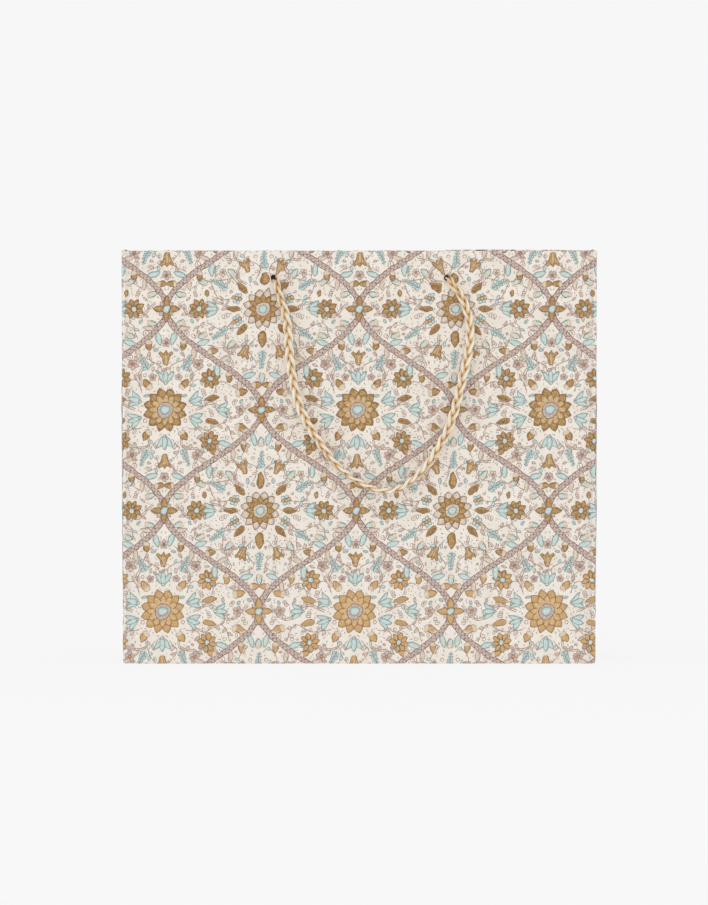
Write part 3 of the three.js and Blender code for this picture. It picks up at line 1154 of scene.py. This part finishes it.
def tube(made, path, radii, flat, sides, side_hint, centre, reach, tag):
    """Adds one strand to made: rings of an ellipse round path, closed at both ends.

    side_hint gives a direction across the strand at each corner, or None. A point's painted_light value, a
    painted highlight on the crowns and painted shade in the grooves, says how far out it stands from centre,
    up to reach, and how far it faces outward.
    """
    verts, faces, uvs, painted_lights = made
    p = np.array(path, float)
    d = np.gradient(p, axis=0)
    d /= np.linalg.norm(d, axis=1)[:, None]
    run = np.concatenate([[0], np.cumsum(np.linalg.norm(np.diff(p, axis=0), axis=1))])
    start = len(verts)
    for k in range(len(p)):
        if side_hint is not None:
            u = side_hint[k]
        elif k == 0:
            u = np.array([0.0, 1.0, 0.0]) if abs(d[0][1]) < 0.9 else np.array([1.0, 0, 0])
        u = u - d[k] * (u @ d[k])
        u = u / np.linalg.norm(u)
        w = np.cross(d[k], u)
        for j in range(sides):
            a = 2 * math.pi * j / sides
            n = u * math.cos(a) * flat + w * math.sin(a)
            v = p[k] + n * radii[k]
            verts.append(v)
            uvs.append((j / sides + tag, run[k] / 10))
            o = v - centre[k]
            away = np.linalg.norm(o)
            facing = (n @ o) / max(1e-6, away * np.linalg.norm(n))
            # painted shade: where the cord runs through the wall and its hem (about 41 to 44 mm out) its
            # value drops to near 0, so it is painted dark
            inside = 1 - fade(HALF_D + 0.9 - abs(v[1]), 0.0, 1.2) * fade(abs(v[1]), 38.5, 41)
            # painted highlight where the strand stands out from the cord's middle and faces outward, painted
            # shade in the grooves
            painted_light = (away / reach) ** 1.9 * (0.16 + 0.84 * max(0.0, facing) ** 1.5)
            painted_lights.append(0.02 + 0.98 * inside * max(0.0, min(1.0, painted_light)))
    for k in range(len(p) - 1):
        for j in range(sides):
            a, b = start + k * sides + j, start + k * sides + (j + 1) % sides
            faces.append([a, b, b + sides, a + sides])
    faces.append([start + j for j in reversed(range(sides))])
    last = start + (len(p) - 1) * sides
    faces.append([last + j for j in range(sides)])


def strand_object(name, build):
    made = verts, faces, uvs, painted_lights = [], [], [], []
    build(made)
    ob = mesh_object(name, np.array(verts) * MM, faces, [SILK], None, uvs)
    # the painted highlight and painted shade values go to the material as an attribute
    attribute = ob.data.attributes.new("painted_light", "FLOAT", "POINT")
    attribute.data.foreach_set("value", np.array(painted_lights, np.float32))
    return ob


PLAIT_PITCH = 20.0
SIDE_REACH, OUT_REACH, STRAND = 1.38, 0.74, 0.98


def plait(path, twist, outward, squeeze=None):
    """Three strands that plait round path.

    outward is the direction off the panel, twist the plait's turn along it in radians.
    """

    def build(made):
        p, run = even(path, 0.55)
        d = np.gradient(p, axis=0)
        d /= np.linalg.norm(d, axis=1)[:, None]
        turn = np.interp(run / run[-1], np.linspace(0, 1, len(twist)), twist)
        size = np.ones(len(p)) if squeeze is None else squeeze(run)
        off = np.array(outward, float)
        out = off[None, :] - d * (d @ off)[:, None]
        out /= np.maximum(np.linalg.norm(out, axis=1), 1e-6)[:, None]
        side = np.cross(d, out)
        c, s = np.cos(turn)[:, None], np.sin(turn)[:, None]
        out, side = out * c + side * s, side * c - out * s
        closing = np.clip(np.minimum(run, run[-1] - run) / 1.4, 0.0, 1.0)
        cap = np.sqrt(np.clip(1 - (1 - closing) ** 2, 0.02, 1))
        for k in range(3):
            f = 2 * math.pi * run / PLAIT_PITCH + 2 * math.pi * k / 3
            centre = (
                p
                + side * (SIDE_REACH * np.sin(f) * size)[:, None]
                + out * (OUT_REACH * np.sin(2 * f) * size)[:, None]
            )
            jitter = 1 + 0.05 * np.sin(run * 0.9 + 2 * k)
            tube(made, centre, STRAND * cap * size * jitter, 0.86, 10, out, p, 2.35, k * 1.37)

    return build


def handle(tag, route, sign):
    """The plaited loop: route corners are (x, out from the panel, drop from the holes)."""
    corners = [(x, sign * (CORD_Y + out), HOLE_Z - drop) for x, out, drop in route]
    path = spline(corners, 8)
    if tag == "front":
        turn = [0.15, 0.35, 0.1, -0.2, 0.3, 1.0, 1.35, 0.9, 0.35, 0.0, -0.3, -0.1, 0.2]
    else:
        turn = [0.1, -0.25, 0.2, 0.5, 1.1, 1.3, 0.7, 0.2, -0.3, 0.1]
    slim = lambda run: (
        1
        - 0.2 * np.exp(-(((run - run[-1] * 0.46) / 34) ** 2))
        - 0.24 * np.exp(-((np.minimum(run, run[-1] - run) / 16) ** 2))
    )
    loop = strand_object(f"{tag}_handle_plait", plait(path, turn, (0, sign, 0), slim))
    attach(loop, f"{tag}_handle")
    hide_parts(f"{tag}_cord")
    for k, (hole, word) in enumerate(zip(HOLES, ("left", "right"))):
        end = corners[0] if k == 0 else corners[-1]
        shift = -6.2 if sign < 0 else 6.2
        knot = np.array([hole + shift, sign * 37.8, 186.0])
        end = (end[0], sign * (CORD_Y - 0.5), end[2] - 1.3)
        mouth = np.array([(end[0] + hole) / 2, sign * 43.6, end[2] + 0.8])
        inner = np.array([hole, sign * 39.9, HOLE_Z + 0.1])
        turned = np.array([hole + shift * 0.35, sign * 38.9, HOLE_Z + 0.4])
        stub_path = spline([end, mouth, inner, turned, knot + (-shift * 0.2, 0, 0.3)], 8)
        widen = lambda run: 0.6 + 0.38 * np.clip((run - 4) / 3, 0, 1)
        stub = strand_object(
            f"{tag}_{word}_cord_through_hole", plait(stub_path, [0.2, 0.6], (0.3, 0, 1), widen)
        )
        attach(stub, tag)
        tied = strand_object(f"{tag}_{word}_knot", knot_builder(knot, 40 + k + (5 if sign > 0 else 0)))
        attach(tied, tag)
        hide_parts(f"{tag}_knot_{word}")
    centre, _ = even(np.array(path) * MM, 0.003)
    hole = (HOLES[0] * MM, sign * HALF_D * MM, HOLE_Z * MM)


def knot_builder(where, seed):
    """An overhand knot pulled tight, with the cord's frayed end hanging from it."""

    def build(made):
        local = random.Random(seed)
        a = np.linspace(0, 2 * math.pi, 61)
        x = np.sin(a) + 2 * np.sin(2 * a)
        y = np.cos(a) - 2 * np.cos(2 * a)
        z = -np.sin(3 * a)
        body = np.stack([x * 0.92, z * 1.15, y * 0.92], 1) + where
        for k in range(2):
            b = a * 5 + math.pi * k
            shift = np.stack([0.42 * np.cos(b), 0.42 * np.sin(b), 0.2 * np.cos(a * 7 + k)], 1)
            centre = np.repeat(where[None, :], len(a), 0)
            tube(made, body + shift, np.full(len(a), 1.28), 0.95, 9, None, centre, 4.6, k * 1.7)
        for k in range(26):
            ang = 2 * math.pi * k / 26 + local.uniform(-0.2, 0.2)
            r0, r1 = local.uniform(0.3, 1.7), local.uniform(1.2, 3.3)
            length = local.uniform(8.4, 11.4)
            t = np.linspace(0, 1, 7)
            path = np.stack(
                [
                    where[0] + np.cos(ang) * (r0 + (r1 - r0) * t**1.5) + 0.35 * np.sin(t * 5 + k),
                    where[1] + np.sin(ang) * (r0 + (r1 - r0) * 0.55 * t**1.5),
                    where[2] - 1.6 - length * t,
                ],
                1,
            )
            centre = np.stack([np.full(7, where[0]), np.full(7, where[1]), path[:, 2]], 1)
            tube(made, path, 0.26 * (1 - 0.6 * t), 1.0, 5, None, centre, 2.6, k * 0.31)

    return build


handle("front", FRONT_ROUTE, -1)
handle("back", BACK_ROUTE, 1)


front = face_sheet(
    "front_sheet",
    Wall(front_where, TOP_FACE, front_sink),
    -FLAT, FLAT, FOOT_T, top_of(TOP_FACE), HOLES,
)
ride_all(front, "front")
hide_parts("front_panel", "front_hem")


def back_lift(x, y=0.0):
    """How far the back's folded top lies over or under the bag's height, at any y."""
    uneven = 0.25 * noise.noise(Vector((x / 21, 4.0, 0)))
    return -1.0 + 0.5 * fade(x, 20, 60) * (1 - fade(x, 98, 108)) + uneven


BACK_S = HALF_W + 2 * HALF_D  # developed length at the back's right corner, nominal


def back_where(s):
    """The back, with the corner at its right end: s runs from that corner to the left."""
    q = s - BACK_S
    if q >= CORNER:
        return (HALF_W - q, HALF_D), (0, 1)
    if q < CORNER - ARC:
        return (HALF_W, SIDE_Y + (q - (CORNER - ARC))), (1, 0)
    across, out = math.sin((CORNER - q) / CORNER), math.cos((CORNER - q) / CORNER)
    return (FLAT + CORNER * across, SIDE_Y + CORNER * out), (across, out)


def back_grid(t0, t1, holes):
    extra = [BACK_S + CORNER - ARC * k / 4 for k in range(5)]
    at = [BACK_S + HALF_W - h for h in HOLES] if holes else []
    extra += [a + d for a in at for d in HOLE_LINES]
    lines_s = steps(BACK_S + CORNER - ARC, BACK_S + WIDTH - CORNER, GRID, extra)
    hts = hole_t(TOP_FACE) if holes else ()
    lines_t = t_lines(TOP_FACE, t0, t1, hts)
    return lines_s, lines_t, [(a, t) for a in at for t in hts]


back_wall = Wall(back_where, TOP_FACE, lambda s, z: back_sink(BACK_S + HALF_W - s, z), back_lift)
back = sheet_pieces("back_sheet", back_wall, *back_grid(CREASE_Z, top_of(TOP_FACE), True))
ride_all(back, "back")
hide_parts("back_panel", "back_hem")
foot = sheet_pieces("back_foot_sheet", back_wall, *back_grid(FOOT_T, CREASE_Z - 0.02, False))
ride_all(foot, "back_foot")
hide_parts("back_lower_panel")


def gusset(name, side, near, s_of, seed, from_q, nodes):
    """One gusset half. s_of maps the length from the corner to the developed sheet's own length."""
    base = corner_where(side, near)
    first = s_of(0.0)
    sign = 1 if s_of(1.0) > first else -1
    wall = Wall(
        lambda s: base((s - first) * sign),
        TOP_GUSSET,
        lambda s, z: gusset_sink((s - first) * sign, z, seed),
        (lambda x, y: back_lift(x) * fade(y, 4, 42)) if near > 0 else None,
    )
    q = steps(from_q, GUSSET - CREASE_GAP, GRID, [ARC * k / 4 for k in range(5)] + [GUSSET - 1.0])
    lines_s = np.sort(first + sign * q)
    parts = sheet_pieces(name, wall, lines_s, t_lines(TOP_GUSSET, FOOT_T, top_of(TOP_GUSSET), ()))
    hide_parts(*nodes)
    return parts


left_front = gusset(
    "left_gusset_front_sheet", -1, -1, lambda q: -FLAT - q, 3.1, 0.0,
    ("left_gusset_front", "left_hem_front"),
)
blend_all(left_front)
right_front = gusset(
    "right_gusset_front_sheet", 1, -1, lambda q: FLAT + q, 4.3, 0.0,
    ("right_gusset_front", "right_hem_front"),
)
blend_all(right_front)
left_rear = gusset(
    "left_gusset_rear_sheet", -1, 1, lambda q: -FLAT - 2 * GUSSET + q, 5.7, 0.0,
    ("left_gusset_rear", "left_hem_rear"),
)
blend_all(left_rear)
right_rear = gusset(
    "right_gusset_rear_sheet", 1, 1, lambda q: FLAT + 2 * GUSSET - q, 6.9, ARC + 0.05,
    ("right_gusset_rear", "right_hem_rear"),
)
ride_all(right_rear, "right_rear")


# ---------------------------------------------------------------- card strips inside the folded tops
def card_strip(name, sign, lift, body, node):
    """The stiffening card between the sheet and its hem, with the handle holes through it."""
    reach = HALF_W - 2.6
    lines_s = steps(-reach, reach, GRID, [h + d for h in HOLES for d in HOLE_LINES])
    lines_t = steps(CARD_LOW, CARD_TOP, GRID, [HOLE_Z + d for d in HOLE_LINES])
    wall = Wall(lambda s: ((s, sign * HALF_D), (0, sign)), TOP_FACE, lambda s, z: CARD_IN, lift)
    holes = [(h, HOLE_Z) for h in HOLES]
    parts = sheet_pieces(name, wall, lines_s, lines_t, holes, CARD_THICK, CARD)
    ride_all(parts, body)
    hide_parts(node)


card_strip("front_card", -1, None, "front", "front_card_strip")
card_strip("back_card", 1, back_lift, "back", "back_card_strip")


# ---------------------------------------------------------------- base, card, seam
BASE_X, BASE_Y, OVERLAP = HALF_W - 2.0, HALF_D - 1.3, 12.0


class Under(Wall):
    """A base flap: the sheet goes on under the bag from the front's foot (near -1) or the back's (near 1)."""

    def __init__(self, near, z, x_of):
        self.near, self.z, self.x_of = near, z, x_of

    def point(self, s, t):
        return (self.x_of(s), self.near * (BASE_Y + t), self.z), (0, 0, -1)


def flap(name, near, z, x_of, s0, s1, node):
    lines_s = steps(s0, s1, 2 * GRID)
    lines_t = steps(-BASE_Y - OVERLAP, 0.0, 2 * GRID)
    parts = sheet_pieces(name, Under(near, z, x_of), lines_s, lines_t, (), FLAP_THICK)
    ride_all(parts, "base")
    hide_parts(node)


REAR_Z, FRONT_Z = 0.34, 0.84  # height of the two flaps' undersides
REAR_S = BACK_S + 2, BACK_S + WIDTH - 2
flap("bottom_rear_sheet", 1, REAR_Z, lambda s: BACK_S + HALF_W - s, *REAR_S, "bottom_rear_flap")
flap("bottom_front_sheet", -1, FRONT_Z, lambda s: s, -BASE_X, BASE_X, "bottom_front_flap")


def dress(node, mat):
    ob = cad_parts[node]
    ob.data.materials.clear()
    ob.data.materials.append(mat)


def solid_paper(name, light, dark, fleck, rough):
    """paper() for a CAD node, which has no map of its own: it reads object coordinates."""
    m = paper(name, light, dark, fleck, rough)
    t = m.node_tree
    coord = next(n for n in t.nodes if n.type == "TEX_COORD")
    for link in list(t.links):
        if link.from_node == coord:
            target = link.to_socket
            t.links.remove(link)
            t.links.new(stretched(t, coord.outputs["Object"], (10, 10, 10)), target)
    return m


BOARD = solid_paper("board_grey", *GREY_CARD, 0.85)
PLAIN = solid_paper("paper_plain", *WHITE_PAPER, 0.8)
dress("base_card", BOARD)
for node in ("seam_tab", "bottom_left_flap", "bottom_right_flap"):
    dress(node, PLAIN)

# ---------------------------------------------------------------- stage and light
WHITE = 0.931  # the backdrop's brightness, linear
world = bpy.data.worlds.new("studio")
bpy.context.scene.world = world
world.use_nodes = True
world.node_tree.nodes["Background"].inputs["Color"].default_value = (1, 1, 1, 1)
world.node_tree.nodes["Background"].inputs["Strength"].default_value = WHITE

floor_mat, _, floor_shader = material("floor_paper", 0.9, 0.0)
FLOOR_TONE = 0.1
SHADE_LIFT = 0.003  # what the key light adds to the floor
floor_shader.inputs["Base Color"].default_value = (FLOOR_TONE, FLOOR_TONE, FLOOR_TONE, 1)
floor_shader.inputs["Emission Color"].default_value = (1, 1, 1, 1)
floor_shader.inputs["Emission Strength"].default_value = WHITE * (1 - FLOOR_TONE) - SHADE_LIFT
ground = [(x, y, -0.0003) for x, y in ((-60, -60), (60, -60), (60, 60), (-60, 60))]
floor = mesh_object("floor", ground, [[0, 1, 2, 3]], [floor_mat])


def area_light(name, where, aim_at, size, power):
    data = bpy.data.lights.new(name, "AREA")
    data.shape, data.size, data.energy = "DISK", size, power
    ob = bpy.data.objects.new(name, data)
    bpy.context.scene.collection.objects.link(ob)
    ob.location = where
    ob.rotation_mode = "QUATERNION"
    ob.rotation_quaternion = (Vector(aim_at) - Vector(where)).to_track_quat("-Z", "Y")
    return ob


area_light("key", (-0.9, -1.6, 1.6), (0, 0, 0.1), 2.0, 6.0)
bpy.context.scene.view_settings.view_transform = "Standard"
bpy.context.scene.view_settings.look = "None"
